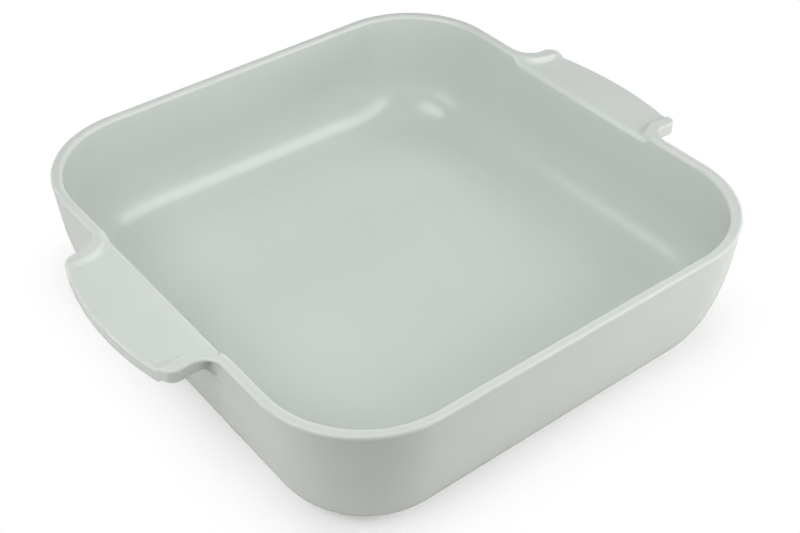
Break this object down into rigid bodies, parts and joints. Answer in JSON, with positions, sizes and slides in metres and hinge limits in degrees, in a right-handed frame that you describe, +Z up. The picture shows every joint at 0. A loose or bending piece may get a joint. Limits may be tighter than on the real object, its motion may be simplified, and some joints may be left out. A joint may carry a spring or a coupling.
{
  "type": "square baking dish",
  "caption": "Square stoneware baking dish with rounded corners, a broad lug handle on each of two opposite sides and a pale green glaze over a bare foot.",
  "frame": {"origin": "on the table plane under the middle of the dish", "axes": "+Z up out of the bowl, +X out along the right handle, +Y along the sides that carry the handles"},
  "size_m": [0.3344, 0.29, 0.076],
  "materials": {
    "clay": "fired stoneware, under the glaze",
    "foot_clay": "bare fired stoneware, matt",
    "glaze": "satin to glossy pale sage glaze"
  },
  "bodies": {
    "root": {"bowl_body": "clay", "handle_right": "clay", "handle_left": "clay", "foot_ring": "foot_clay", "inner_glaze": "glaze", "outer_glaze": "glaze"}
  },
  "joints": []
}
